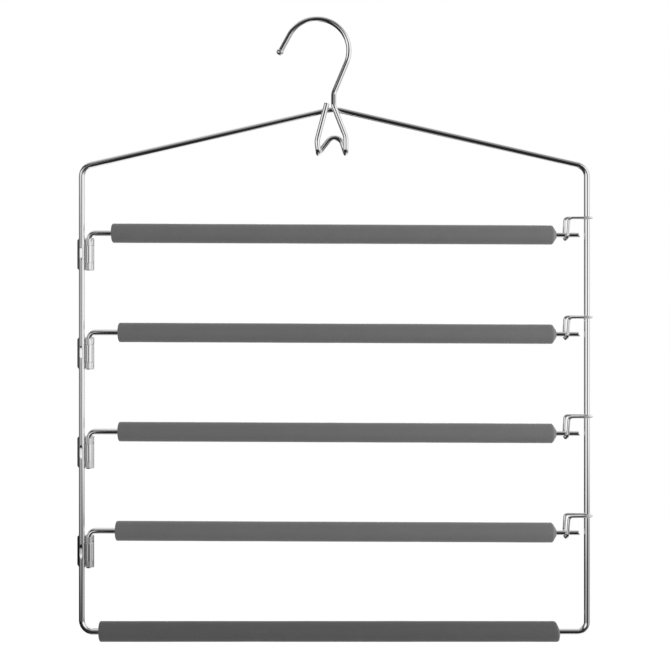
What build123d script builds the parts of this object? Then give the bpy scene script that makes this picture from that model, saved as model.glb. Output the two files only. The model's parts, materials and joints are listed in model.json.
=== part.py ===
from build123d import *
from math import cos, radians, sin, tan
import os

os.makedirs("parts", exist_ok=True)

# A wire trouser hanger. Z is up and the front of the hanger looks along -Y. The origin is the
# top of the hook's inside, where a closet rail bears. All sizes are in millimetres.

# Wires
frame_wire_diameter = 4.5
hook_wire_diameter = 4.0
arm_wire_diameter = 4.0
catch_wire_diameter = 2.2

# Frame, measured between wire centre lines
frame_width = 375.5
frame_centre_offset = 12.8
shoulder_fall = 43.2
bottom_wire_fall = 388.5
apex_bend_radius = 25.0
shoulder_bend_radius = 9.0
left_foot_bend_radius = 8.7
right_foot_bend_radius = 7.2

# Hook: a rail bend, a stem that comes forward over the apex, and a folded double loop
hook_inside_diameter = 43.2
hook_tail_angle = 28.8
hook_tail_length = 14.6
hook_neck_angle = 22.7
stem_offset = 12.3
stem_length = 10.05
stem_foot_rise = 1.6
stem_bend_radius = 8.0
right_leg_angle = 21.6
left_leg_angle = 14.7
left_leg_rise = 3.9
leg_bend_radius = 12.0
right_foot_length = 11.87
loop_width = 20.3
loop_left_foot = 1.0
left_foot_length = 8.8
left_foot_angle = 7.0
left_slope_angle = 38.0
right_slope_angle = 17.8
loop_peak_radius = 6.0
loop_fold_radius = 3.4
loop_fold_straight = 0.2

# Cap on the hook's free end
cap_diameter = 5.4
cap_length = 3.5
cap_rim_radius = 1.2
cap_grip_depth = 1.6
cap_clearance = 0.03

# Swing arms
arm_count = 4
first_arm_fall = 92.3
arm_pitch = 73.75
arm_droop = 1.5
pin_offset = 5.2
pin_length = 27.6
pin_bend_radius = 5.2
arm_end_gap = 5.9
arm_end_shear_angle = 16.0

# Foam sleeves
sleeve_diameter = 14.5
sleeve_clearance = 0.1
sleeve_starts = [17.0, 21.9, 21.8, 19.9]
sleeve_setback = 23.1
sleeve_start_rounding = 1.6
sleeve_end_rounding = 3.2
bottom_sleeve_diameter = 14.8
bottom_sleeve_start = 13.1
bottom_sleeve_setback = 20.6
bottom_sleeve_rounding = 1.8

# Hinge brackets
plate_width = 13.0
plate_height = 24.2
plate_thickness = 1.0
plate_drop = 3.8
plate_left_reach = 4.3
plate_corner = 1.6
flange_width = 2.2
flange_angle = 35.0
flange_bend_radius = 1.4
plate_rollover_depth = 0.25
plate_rollover_height = 0.9
strap_drop = 9.1
strap_height = 13.2
strap_thickness = 0.6
hinge_clearance = 0.05

# Catches
catch_rise = 12.8
catch_reach = 14.8
catch_foot_reach = 15.9
catch_skew = 0.8
catch_foot_skew = 0.6
catch_leg_spacing = 8.0
catch_bend_radius = 2.5
catch_cradle_radius = 3.6
catch_ring_straight = 0.3
catch_end_gap = 0.3
catch_seat_clearance = 0.2

# Welds
weld_depth = 0.2
weld_dent_drop = 15.0
weld_dent_length = 10.0
weld_dent_depth = 0.4

# Places worked out from the sizes above. Drops are measured down from the rail seat, and falls
# from the frame's apex.
frame_radius = frame_wire_diameter / 2
hook_radius = hook_wire_diameter / 2
arm_radius = arm_wire_diameter / 2
catch_radius = catch_wire_diameter / 2
rail_bend_radius = hook_inside_diameter / 2 + hook_radius
rail_centre_z = -hook_inside_diameter / 2
neck_start_x = rail_bend_radius * cos(radians(hook_neck_angle))
neck_start_z = rail_centre_z - rail_bend_radius * sin(radians(hook_neck_angle))
stem_top_z = neck_start_z - (neck_start_x - stem_offset) / tan(radians(hook_neck_angle))
stem_foot_z = stem_top_z - stem_length
apex_drop = stem_foot_rise - stem_foot_z
shoulder_drop = apex_drop + shoulder_fall
bottom_wire_drop = apex_drop + bottom_wire_fall
left_upright_x = frame_centre_offset - frame_width / 2
right_upright_x = frame_centre_offset + frame_width / 2
pin_x = left_upright_x + pin_offset
plate_front_y = frame_radius - weld_depth
pin_y = plate_front_y - hinge_clearance - arm_radius
arm_end_x = right_upright_x - arm_end_gap
arm_slope = arm_droop / (arm_end_x - pin_x)


def arm_z(index, x):
    """Height of one arm's centre line, which droops towards its free end."""
    return -apex_drop - first_arm_fall - index * arm_pitch - arm_slope * (x - pin_x)


# Frame wire: one closed loop, with the dents that welding the brackets leaves on its front
with BuildPart() as frame_wire:
    with BuildLine() as frame_path:
        FilletPolyline(
            (left_upright_x, 0, -bottom_wire_drop),
            (left_upright_x, 0, -shoulder_drop),
            (frame_centre_offset, 0, -apex_drop),
            (right_upright_x, 0, -shoulder_drop),
            (right_upright_x, 0, -bottom_wire_drop),
            radius=[
                left_foot_bend_radius,
                shoulder_bend_radius,
                apex_bend_radius,
                shoulder_bend_radius,
                right_foot_bend_radius,
            ],
            close=True,
        )
    with BuildSketch(Plane(frame_path.line @ 0, z_dir=frame_path.line % 0)):
        Circle(frame_radius)
    sweep()
    dent_radius = ((weld_dent_length / 2) ** 2 + weld_dent_depth**2) / (2 * weld_dent_depth)
    dent_y = weld_dent_depth - frame_radius - dent_radius
    for index in range(arm_count):
        with Locations((left_upright_x, dent_y, arm_z(index, pin_x) - weld_dent_drop)):
            Cylinder(dent_radius, frame_wire_diameter, rotation=(0, 90, 0), mode=Mode.SUBTRACT)
frame_wire.part.label = "frame_wire"
export_step(frame_wire.part, "parts/frame_wire.step")

# Hook wire. The rail bend lies in the frame's plane, the legs lie on the frame's front, and
# the folded loop's inner V lies behind the legs.
tail_dx = -sin(radians(hook_tail_angle))
tail_dz = -cos(radians(hook_tail_angle))
tail_start_x = -rail_bend_radius * cos(radians(hook_tail_angle))
tail_start_z = rail_centre_z + rail_bend_radius * sin(radians(hook_tail_angle))
leg_y = weld_depth - frame_radius - hook_radius
fold_y = leg_y + 2 * loop_fold_radius + loop_fold_straight
left_foot_x = loop_left_foot
right_foot_x = left_foot_x + loop_width
right_knee_z = stem_foot_z - (right_foot_x - stem_offset) / tan(radians(right_leg_angle))
loop_foot_z = right_knee_z - right_foot_length
peak_rise = loop_width / (tan(radians(left_slope_angle)) + tan(radians(right_slope_angle)))
peak_x = left_foot_x + peak_rise * tan(radians(left_slope_angle))
left_knee_x = left_foot_x - left_foot_length * tan(radians(left_foot_angle))
left_knee_z = loop_foot_z + left_foot_length
left_top_z = left_leg_rise - apex_drop
left_top_x = left_knee_x + (left_top_z - left_knee_z) * tan(radians(left_leg_angle))

with BuildPart() as hook:
    with BuildLine() as hook_path:
        Line(
            (
                tail_start_x + hook_tail_length * tail_dx,
                0,
                tail_start_z + hook_tail_length * tail_dz,
            ),
            (tail_start_x, 0, tail_start_z),
        )
        ThreePointArc(
            (tail_start_x, 0, tail_start_z),
            (0, 0, rail_centre_z + rail_bend_radius),
            (neck_start_x, 0, neck_start_z),
        )
        FilletPolyline(
            (neck_start_x, 0, neck_start_z),
            (stem_offset, 0, stem_top_z),
            (stem_offset, leg_y, stem_foot_z),
            (right_foot_x, leg_y, right_knee_z),
            (right_foot_x, leg_y, loop_foot_z),
            (right_foot_x, fold_y, loop_foot_z),
            (peak_x, fold_y, loop_foot_z + peak_rise),
            (left_foot_x, fold_y, loop_foot_z),
            (left_foot_x, leg_y, loop_foot_z),
            (left_knee_x, leg_y, left_knee_z),
            (left_top_x, leg_y, left_top_z),
            radius=[
                stem_bend_radius,
                stem_bend_radius,
                leg_bend_radius,
                loop_fold_radius,
                loop_fold_radius,
                loop_peak_radius,
                loop_fold_radius,
                loop_fold_radius,
                leg_bend_radius,
            ],
        )
    with BuildSketch(Plane(hook_path.line @ 0, z_dir=hook_path.line % 0)):
        Circle(hook_radius)
    sweep()
hook.part.label = "hook"
export_step(hook.part, "parts/hook.step")

# Domed cap pressed on the hook's free end
tail_end = hook_path.line @ 0
tail_end_plane = Plane(tail_end, z_dir=(tail_dx, 0, tail_dz))
with BuildPart() as hook_tip_cap:
    with BuildSketch(tail_end_plane.offset(-cap_grip_depth)):
        Circle(cap_diameter / 2)
    extrude(amount=cap_length)
    fillet(hook_tip_cap.edges().filter_by(GeomType.CIRCLE), cap_rim_radius)
    with BuildSketch(tail_end_plane.offset(-cap_grip_depth)):
        Circle(hook_radius + cap_clearance)
    extrude(amount=cap_grip_depth + cap_clearance, mode=Mode.SUBTRACT)
hook_tip_cap.part.label = "hook_tip_cap"
export_step(hook_tip_cap.part, "parts/hook_tip_cap.step")

# Swing arms: a straight bar whose left end turns down into its hinge pin, and whose free end
# is sheared at a slant
for index in range(arm_count):
    bar_z = arm_z(index, pin_x)
    with BuildPart() as swing_arm:
        with BuildLine():
            FilletPolyline(
                (pin_x, pin_y, bar_z - pin_length),
                (pin_x, pin_y, bar_z),
                (arm_end_x + arm_radius, pin_y, arm_z(index, arm_end_x + arm_radius)),
                radius=[pin_bend_radius],
            )
        with BuildSketch(Plane.XY.offset(bar_z - pin_length)):
            with Locations((pin_x, pin_y)):
                Circle(arm_radius)
        sweep()
        shear_angle = radians(arm_end_shear_angle)
        split(
            bisect_by=Plane(
                (arm_end_x, pin_y, arm_z(index, arm_end_x)),
                z_dir=(cos(shear_angle), 0, sin(shear_angle)),
            ),
            keep=Keep.BOTTOM,
        )
    swing_arm.part.label = f"swing_arm_{index + 1}"
    export_step(swing_arm.part, f"parts/swing_arm_{index + 1}.step")

# Foam sleeves on the swing arms, each a tube along the drooping bar
for index, sleeve_start in enumerate(sleeve_starts):
    start_x = pin_x + sleeve_start
    end_x = right_upright_x - sleeve_setback
    sleeve_length = (end_x - start_x) * (1 + arm_slope**2) ** 0.5
    sleeve_plane = Plane((start_x, pin_y, arm_z(index, start_x)), z_dir=(1, 0, -arm_slope))
    with BuildPart() as foam_sleeve:
        with BuildSketch(sleeve_plane):
            Circle(sleeve_diameter / 2)
        extrude(amount=sleeve_length)
        fillet(foam_sleeve.edges().sort_by(Axis.X)[0], sleeve_start_rounding)
        fillet(foam_sleeve.edges().sort_by(Axis.X)[-1], sleeve_end_rounding)
        with BuildSketch(sleeve_plane):
            Circle(arm_radius + sleeve_clearance)
        extrude(amount=sleeve_length, mode=Mode.SUBTRACT)
    foam_sleeve.part.label = f"foam_sleeve_{index + 1}"
    export_step(foam_sleeve.part, f"parts/foam_sleeve_{index + 1}.step")

# Thicker foam sleeve on the frame's bottom run
bottom_start_x = left_upright_x + bottom_sleeve_start
bottom_length = frame_width - bottom_sleeve_start - bottom_sleeve_setback
bottom_plane = Plane((bottom_start_x, 0, -bottom_wire_drop), z_dir=(1, 0, 0))
with BuildPart() as bottom_foam_sleeve:
    with BuildSketch(bottom_plane):
        Circle(bottom_sleeve_diameter / 2)
    extrude(amount=bottom_length)
    fillet(bottom_foam_sleeve.edges().sort_by(Axis.X)[0], bottom_sleeve_rounding)
    fillet(bottom_foam_sleeve.edges().sort_by(Axis.X)[-1], bottom_sleeve_rounding)
    with BuildSketch(bottom_plane):
        Circle(frame_radius + sleeve_clearance)
    extrude(amount=bottom_length, mode=Mode.SUBTRACT)
bottom_foam_sleeve.part.label = "bottom_foam_sleeve"
export_step(bottom_foam_sleeve.part, "parts/bottom_foam_sleeve.step")

# Hinge brackets: a plate welded behind the left upright, whose left edge is bent back as a
# flange, with a strap lanced out of it and bent forward round the arm's pin
pin_hole_radius = arm_radius + hinge_clearance
strap_radius = pin_hole_radius + strap_thickness
plate_back_y = plate_front_y + plate_thickness
plate_left_x = left_upright_x - plate_left_reach
plate_right_x = plate_left_x + plate_width
flange_x = plate_left_x + flange_width
flange_front_y = plate_front_y + flange_width * tan(radians(flange_angle))
flange_back_x = plate_left_x + plate_thickness * sin(radians(flange_angle))
flange_back_y = flange_front_y + plate_thickness * cos(radians(flange_angle))
inner_bend_x = flange_x + plate_thickness * tan(radians(flange_angle / 2))
for index in range(arm_count):
    plate_top_z = arm_z(index, pin_x) - plate_drop
    strap_bottom_z = arm_z(index, pin_x) - strap_drop - strap_height
    with BuildPart() as hinge_bracket:
        with BuildSketch(Plane.XY.offset(plate_top_z - plate_height)):
            with BuildLine():
                FilletPolyline(
                    (plate_right_x, plate_front_y),
                    (flange_x, plate_front_y),
                    (plate_left_x, flange_front_y),
                    radius=flange_bend_radius,
                )
                Line((plate_left_x, flange_front_y), (flange_back_x, flange_back_y))
                FilletPolyline(
                    (flange_back_x, flange_back_y),
                    (inner_bend_x, plate_back_y),
                    (plate_right_x, plate_back_y),
                    radius=flange_bend_radius - plate_thickness,
                )
                Line((plate_right_x, plate_back_y), (plate_right_x, plate_front_y))
            make_face()
        extrude(amount=plate_height)
        with BuildSketch(Plane.XZ) as plate_outline:
            with Locations((plate_left_x, plate_top_z)):
                Rectangle(plate_width, plate_height, align=(Align.MIN, Align.MAX))
            chamfer(plate_outline.vertices().group_by(Axis.X)[0], plate_corner)
        extrude(amount=-flange_back_y, mode=Mode.INTERSECT)
        # The rollover of the top edge, which leaves room for the arm's bend behind the pin
        with BuildSketch(Plane.YZ.offset(flange_x)):
            Polygon(
                (plate_front_y, plate_top_z - plate_rollover_height),
                (plate_front_y, plate_top_z),
                (plate_front_y + plate_rollover_depth, plate_top_z),
                align=None,
            )
        extrude(amount=plate_width - flange_width, mode=Mode.SUBTRACT)
        with BuildSketch(Plane.XY.offset(strap_bottom_z)):
            with Locations((pin_x, pin_y)):
                Circle(strap_radius)
                Rectangle(2 * strap_radius, plate_back_y - pin_y, align=(Align.CENTER, Align.MIN))
        extrude(amount=strap_height)
        with BuildSketch(Plane.XY.offset(strap_bottom_z)):
            with Locations((pin_x, pin_y)):
                Circle(pin_hole_radius)
                Rectangle(2 * pin_hole_radius, plate_back_y - pin_y, align=(Align.CENTER, Align.MIN))
        extrude(amount=strap_height, mode=Mode.SUBTRACT)
    hinge_bracket.part.label = f"hinge_bracket_{index + 1}"
    export_step(hinge_bracket.part, f"parts/hinge_bracket_{index + 1}.step")

# Catches: a wire bent round the right upright, with two legs to the left that turn down and
# meet in a cradle under the arm's free end
ring_half = frame_radius + catch_radius - weld_depth
ring_x = right_upright_x + ring_half
ring_bend_radius = ring_half - catch_ring_straight / 2
leg_half = catch_leg_spacing / 2
catch_top_x = right_upright_x - catch_reach
catch_foot_x = right_upright_x - catch_foot_reach
for index in range(arm_count):
    rest_z = arm_z(index, catch_foot_x)
    cradle_z = rest_z - arm_radius - catch_seat_clearance - catch_radius
    catch_z = rest_z + catch_rise
    with BuildPart() as catch:
        with BuildLine():
            FilletPolyline(
                (catch_foot_x, catch_end_gap / 2, cradle_z),
                (catch_foot_x - catch_foot_skew, leg_half, cradle_z),
                (catch_top_x - catch_skew, leg_half, catch_z),
                (ring_x, ring_half, catch_z),
                (ring_x, -ring_half, catch_z),
                (catch_top_x + catch_skew, -leg_half, catch_z),
                (catch_foot_x + catch_foot_skew, -leg_half, cradle_z),
                (catch_foot_x, -catch_end_gap / 2, cradle_z),
                radius=[
                    catch_cradle_radius,
                    catch_bend_radius,
                    ring_bend_radius,
                    ring_bend_radius,
                    catch_bend_radius,
                    catch_cradle_radius,
                ],
            )
        wire_start = (catch_foot_x, catch_end_gap / 2, cradle_z)
        start_direction = (-catch_foot_skew, leg_half - catch_end_gap / 2, 0)
        with BuildSketch(Plane(wire_start, z_dir=start_direction)):
            Circle(catch_radius)
        sweep()
    catch.part.label = f"catch_{index + 1}"
    export_step(catch.part, f"parts/catch_{index + 1}.step")
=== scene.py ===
import bmesh
import bpy
import json
import math
from bpy.props import FloatProperty, FloatVectorProperty, IntProperty, PointerProperty
from mathutils import Matrix, Vector


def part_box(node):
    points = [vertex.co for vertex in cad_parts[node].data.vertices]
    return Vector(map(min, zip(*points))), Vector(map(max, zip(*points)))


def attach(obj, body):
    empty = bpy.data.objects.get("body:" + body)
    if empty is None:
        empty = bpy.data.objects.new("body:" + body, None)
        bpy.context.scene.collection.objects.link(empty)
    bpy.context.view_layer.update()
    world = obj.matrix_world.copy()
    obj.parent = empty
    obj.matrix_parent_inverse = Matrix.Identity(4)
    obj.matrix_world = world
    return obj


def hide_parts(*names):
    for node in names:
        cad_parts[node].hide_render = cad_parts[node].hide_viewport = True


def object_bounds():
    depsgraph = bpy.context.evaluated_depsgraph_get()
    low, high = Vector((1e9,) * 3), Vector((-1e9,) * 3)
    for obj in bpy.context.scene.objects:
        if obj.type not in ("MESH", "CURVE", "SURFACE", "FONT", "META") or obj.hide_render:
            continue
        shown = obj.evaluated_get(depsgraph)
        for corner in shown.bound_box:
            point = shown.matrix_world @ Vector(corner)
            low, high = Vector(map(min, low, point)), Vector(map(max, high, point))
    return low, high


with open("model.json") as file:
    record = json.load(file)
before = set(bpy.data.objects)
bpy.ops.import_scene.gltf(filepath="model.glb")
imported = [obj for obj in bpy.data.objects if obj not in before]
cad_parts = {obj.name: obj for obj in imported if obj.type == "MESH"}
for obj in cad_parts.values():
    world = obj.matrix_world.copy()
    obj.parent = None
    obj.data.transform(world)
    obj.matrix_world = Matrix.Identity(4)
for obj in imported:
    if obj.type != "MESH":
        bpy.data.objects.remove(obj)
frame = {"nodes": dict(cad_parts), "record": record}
CAD_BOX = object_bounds()

bl_info = {
    "name": "Trouser Hanger",
    "version": (1, 0, 0),
    "blender": (4, 5, 0),
    "location": "View3D > Sidebar > Hanger",
    "description": "Builds the wires, foam, hinge brackets and catches of a trouser hanger",
    "category": "Add Mesh",
}

MM = 0.001
# Dark parts of the studio as polished wire mirrors them: degrees to the right of the camera,
# degrees above the horizon, how dark, and how soft the border is
MIRRORED_PATCHES = (
    ((-100, 23), (-75, -16), 0.98, 5.0),
    ((-100, 100), (-96, -72), 0.75, 5.0),
    ((18, 100), (-62, -28), 0.90, 5.0),
    ((18, 130), (-28, -12), 0.46, 4.0),
    ((12, 46), (-32, -12), 0.65, 3.0),
    ((-70, -12), (-18, -9), 0.15, 3.0),
    ((-32, 23), (6, 34), 0.95, 3.0),
    ((-100, -30), (22, 46), 0.93, 4.0),
    ((-11.54, 20), (-20, 12), 0.97, 0.12),
    ((-95, 95), (34, 62), 0.70, 6.0),
    ((-120, 120), (58, 96), 0.55, 5.0),
    ((-174, -110), (-60, -11), 0.92, 4.0),
    ((-174, -110), (-70, 40), 0.80, 5.0),
    ((92, 128), (-40, 30), 0.40, 6.0),
)
ARM_NUMBERS = range(1, sum(name.startswith("swing_arm_") for name in frame["nodes"]) + 1)


# Properties

def length(name, description, millimetres):
    """A length property whose default is given in millimetres."""
    return FloatProperty(name=name, description=description, default=millimetres * MM,
                         min=0.0, unit="LENGTH", precision=5)


def angle(name, description, degrees):
    """An angle property whose default is given in degrees."""
    return FloatProperty(name=name, description=description, default=math.radians(degrees),
                         unit="ROTATION")


def colour(name, description, rgb):
    """A colour property with its default."""
    return FloatVectorProperty(name=name, description=description, default=rgb, size=3,
                               min=0.0, max=1.0, subtype="COLOR")


class WireSizes(bpy.types.PropertyGroup):
    frame_wire: length("Frame Wire", "Diameter of the frame's wire", 4.5)
    hook_wire: length("Hook Wire", "Diameter of the hook's wire", 4.0)
    arm_wire: length("Arm Wire", "Diameter of a swing arm's wire", 4.0)
    catch_wire: length("Catch Wire", "Diameter of a catch's wire", 2.2)
    cut_rounding: length("Cut Rounding", "Rounding that plating leaves on a cut end", 0.3)
    sides: IntProperty(name="Sides", description="Sides of a round wire", default=56, min=12)
    bend_steps: IntProperty(name="Bend Steps", description="Steps in each bend", default=14,
                            min=4)


class FrameSizes(bpy.types.PropertyGroup):
    shoulder_fall: length("Shoulder Fall", "Fall from the apex to a shoulder", 43.2)
    apex_bend: length("Apex Bend", "Centre line radius at the apex", 25.0)
    shoulder_bend: length("Shoulder Bend", "Centre line radius at a shoulder", 9.0)
    left_foot_bend: length("Left Foot Bend", "Centre line radius, bottom left corner", 8.7)
    right_foot_bend: length("Right Foot Bend", "Centre line radius, bottom right corner", 7.2)
    dent_drop: length("Weld Dent Drop", "From an arm's axis down to its bracket's weld", 15.0)
    dent_length: length("Weld Dent Length", "Length of the electrode's dent", 10.0)
    dent_depth: length("Weld Dent Depth", "Depth of the electrode's dent", 0.32)
    dent_turn: angle("Weld Dent Turn", "How far to the left of front a dent faces", 9.5)


class HookSizes(bpy.types.PropertyGroup):
    inside_diameter: length("Inside Diameter", "Inside of the rail bend", 43.2)
    tail_angle: angle("Tail Angle", "Lean of the tail from vertical", 28.8)
    tail_length: length("Tail Length", "Straight run at the free end", 14.6)
    neck_angle: angle("Neck Angle", "Lean of the neck from vertical", 22.7)
    stem_offset: length("Stem Offset", "Stem's distance right of the rail seat", 12.3)
    stem_length: length("Stem Length", "Height over which the stem comes forward", 10.05)
    stem_bend: length("Stem Bend", "Centre line radius at both ends of the stem", 8.0)
    right_leg_angle: angle("Right Leg Angle", "Lean of the right leg from vertical", 21.6)
    left_leg_angle: angle("Left Leg Angle", "Lean of the left leg from vertical", 14.7)
    left_leg_top: length("Left Leg Top", "Depth of the left leg's cut end", 61.1)
    leg_bend: length("Leg Bend", "Centre line radius at a leg's knee", 12.0)
    right_foot_length: length("Right Foot Length", "From the right knee to its foot", 11.87)
    left_foot_length: length("Left Foot Length", "From the left knee to its foot", 8.8)
    left_foot_angle: angle("Left Foot Angle", "Lean of the left foot from vertical", 7.0)
    loop_width: length("Loop Width", "Between the two feet", 20.3)
    left_foot: length("Left Foot", "Left foot's distance right of the rail seat", 1.0)
    left_slope: angle("Left Slope", "Lean of the inner V's left side", 38.0)
    right_slope: angle("Right Slope", "Lean of the inner V's right side", 17.8)
    peak_bend: length("Peak Bend", "Centre line radius at the inner V's top", 6.0)
    fold_bend: length("Fold Bend", "Centre line radius where the loop folds back", 3.4)
    fold_straight: length("Fold Straight", "Straight run between a fold's two bends", 0.2)


class ArmSizes(bpy.types.PropertyGroup):
    pin_bend: length("Pin Bend", "Centre line radius where the bar turns into its pin", 5.2)
    shear_angle: angle("Shear Angle", "Slant of the free end's cut", 16.0)
    droop: length("Droop", "How far the free end hangs lower than the hinge", 1.5)


class FoamSizes(bpy.types.PropertyGroup):
    bore_clearance: length("Bore Clearance", "Gap between the wire and the foam", 0.12)
    start_rounding: length("Start Rounding", "Rounding of the hinge end's rim", 1.3)
    end_rounding: length("End Rounding", "Rounding of the catch end's rim", 2.0)
    start_bulge: length("Start Bulge", "How far the hinge end's face swells", 0.6)
    end_bulge: length("End Bulge", "How far the catch end's face swells", 2.9)
    bottom_start_rounding: length("Bottom Start Rounding", "Rounding of its left rim", 1.0)
    bottom_end_rounding: length("Bottom End Rounding", "Rounding of its right rim", 2.4)
    bottom_start_bulge: length("Bottom Start Bulge", "How far its left face swells", 0.4)
    bottom_end_bulge: length("Bottom End Bulge", "How far its right face swells", 1.7)
    waviness: length("Waviness", "Height of the long waves of the foam's skin", 0.28)
    step: length("Step", "Distance between rings along a sleeve", 1.6)
    sides: IntProperty(name="Sides", description="Sides of a sleeve", default=72, min=16)


class BracketSizes(bpy.types.PropertyGroup):
    plate_thickness: length("Plate Thickness", "Thickness of the stamped plate", 1.0)
    strap_thickness: length("Strap Thickness", "Thickness of the lanced strap", 0.6)
    flange_width: length("Flange Width", "Width of the left edge that is bent back", 2.2)
    flange_angle: angle("Flange Angle", "How far the left edge is bent back", 35.0)
    flange_bend: length("Flange Bend", "Front radius of the flange's bend", 1.4)
    strap_drop: length("Strap Drop", "From the arm's axis to the strap's top", 9.1)
    strap_height: length("Strap Height", "Height of the strap", 13.2)
    corner: length("Corner", "Chamfer of the plate's outer corners", 1.6)
    rollover_depth: length("Rollover Depth", "How far the top edge leans back", 0.3)
    rollover_height: length("Rollover Height", "Height over which it leans back", 0.95)
    edge_rounding: length("Edge Rounding", "Rounding of stamped edges", 0.16)
    root_rounding: length("Root Rounding", "Bend where the strap leaves the plate", 0.5)
    strap_rounding: length("Strap Rounding", "Rounding of the strap's rims", 0.27)
    clearance: length("Clearance", "Gap between the pin and the strap", 0.05)


class CatchSizes(bpy.types.PropertyGroup):
    reach: length("Reach", "From the upright's axis to the legs' tops", 14.8)
    foot_reach: length("Foot Reach", "From the upright's axis to the legs' feet", 15.9)
    skew: length("Skew", "How far each leg's top is out of line", 0.8)
    foot_skew: length("Foot Skew", "How far each leg's foot is out of line", 0.6)
    bend: length("Bend", "Centre line radius where a leg turns down", 2.5)
    cradle_bend: length("Cradle Bend", "Centre line radius of the cradle", 3.6)
    ring_straight: length("Ring Straight", "Straight run behind the upright", 0.3)
    end_gap: length("End Gap", "Gap between the wire's two ends", 0.3)


class Finish(bpy.types.PropertyGroup):
    chrome: colour("Chrome", "Colour of the plated wire", (0.94, 0.94, 0.945))
    plate: colour("Plate", "Colour of the plated stampings", (0.94, 0.94, 0.945))
    foam: colour("Foam", "Colour of the arm sleeves", (0.102, 0.102, 0.103))
    bottom_foam: colour("Bottom Foam", "Colour of the bottom sleeve", (0.068, 0.068, 0.069))


class StageSizes(bpy.types.PropertyGroup):
    camera_distance: length("Camera Distance", "From the frame's plane to the camera", 880.0)
    camera_right: length("Camera Right", "Camera's distance right of the rail seat", 13.2)
    camera_drop: length("Camera Drop", "Camera's depth below the rail seat", 151.3)
    picture_width: length("Picture Width", "Width of the frame's plane in the picture", 498.2)
    picture_drop: length("Picture Drop", "Depth of the picture's centre", 233.1)
    floor_gap: length("Floor Gap", "From the bottom sleeve down to the floor", 130.0)


class HangerSettings(bpy.types.PropertyGroup):
    wire: PointerProperty(type=WireSizes)
    frame: PointerProperty(type=FrameSizes)
    hook: PointerProperty(type=HookSizes)
    arm: PointerProperty(type=ArmSizes)
    foam: PointerProperty(type=FoamSizes)
    bracket: PointerProperty(type=BracketSizes)
    catch: PointerProperty(type=CatchSizes)
    finish: PointerProperty(type=Finish)
    stage: PointerProperty(type=StageSizes)


def settings():
    return bpy.context.scene.trouser_hanger


# Node trees

def add_node(tree, kind, inputs=(), **values):
    """Adds a node. Among its inputs, nodes and sockets are linked and the rest are values."""
    node = tree.nodes.new(kind)
    for key, value in values.items():
        setattr(node, key, value)
    for key, value in dict(inputs).items():
        if isinstance(value, bpy.types.Node):
            value = value.outputs[0]
        socket = node.inputs[key]
        if isinstance(value, bpy.types.NodeSocket):
            tree.links.new(value, socket)
        else:
            socket.default_value = value
    return node


def math_node(tree, operation, first, second=0.0, third=0.0):
    return add_node(tree, "ShaderNodeMath", {0: first, 1: second, 2: third},
                    operation=operation)


def scaled(tree, vector, factor):
    return add_node(tree, "ShaderNodeVectorMath", {0: vector, "Scale": factor},
                    operation="SCALE")


def ramp(tree, value, low, high, start=0.0, end=1.0):
    """A smooth step from the start to the end value between low and high."""
    return add_node(tree, "ShaderNodeMapRange",
                    {"Value": value, "From Min": low, "From Max": high, "To Min": start,
                     "To Max": end}, interpolation_type="SMOOTHSTEP")


def geometry_tree(name, sizes):
    """An empty Geometry Nodes tree with its named inputs, which are the sizes and a material."""
    tree = bpy.data.node_groups.new(name, "GeometryNodeTree")
    sockets = {"Geometry": "Geometry", **sizes, "Material": "Material"}
    for label, kind in sockets.items():
        tree.interface.new_socket(label, in_out="INPUT", socket_type="NodeSocket" + kind)
    tree.interface.new_socket("Geometry", in_out="OUTPUT", socket_type="NodeSocketGeometry")
    return tree, add_node(tree, "NodeGroupInput").outputs


def finish_tree(tree, mesh, material):
    """Ends a tree as every tree here ends."""
    real = add_node(tree, "GeometryNodeRealizeInstances", {0: mesh})
    smooth = add_node(tree, "GeometryNodeSetShadeSmooth", {0: real})
    last = add_node(tree, "GeometryNodeSetMaterial", {"Geometry": smooth, "Material": material})
    add_node(tree, "NodeGroupOutput", {0: last})
    return tree


def stored(tree, geometry, name, value, kind="FLOAT_VECTOR"):
    return add_node(tree, "GeometryNodeStoreNamedAttribute",
                    {"Geometry": geometry, "Name": name, "Value": value},
                    data_type=kind, domain="POINT")


def named(tree, name, kind="FLOAT_VECTOR"):
    return add_node(tree, "GeometryNodeInputNamedAttribute", {"Name": name}, data_type=kind)


def wire_tree():
    """A round wire along a line, which remembers where each point lies on the straight wire."""
    tree, given = geometry_tree("Bent Wire", {"Wire Radius": "Float", "Sides": "Int"})
    line = add_node(tree, "GeometryNodeMeshToCurve", {0: given["Geometry"]})
    along = add_node(tree, "GeometryNodeSplineParameter").outputs["Length"]
    line = stored(tree, line, "along", along, "FLOAT")
    circle = add_node(tree, "GeometryNodeCurvePrimitiveCircle",
                      {"Resolution": given["Sides"], "Radius": given["Wire Radius"]})
    profile = stored(tree, circle, "around", add_node(tree, "GeometryNodeInputPosition"))
    swept = add_node(tree, "GeometryNodeCurveToMesh",
                     {"Curve": line, "Profile Curve": profile, "Fill Caps": True})
    around = add_node(tree, "ShaderNodeSeparateXYZ", {0: named(tree, "around")}).outputs
    straight = add_node(tree, "ShaderNodeCombineXYZ",
                        {"X": named(tree, "along", "FLOAT"), "Y": around["X"],
                         "Z": around["Y"]})
    return finish_tree(tree, stored(tree, swept, "straight_wire", straight), given["Material"])


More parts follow.
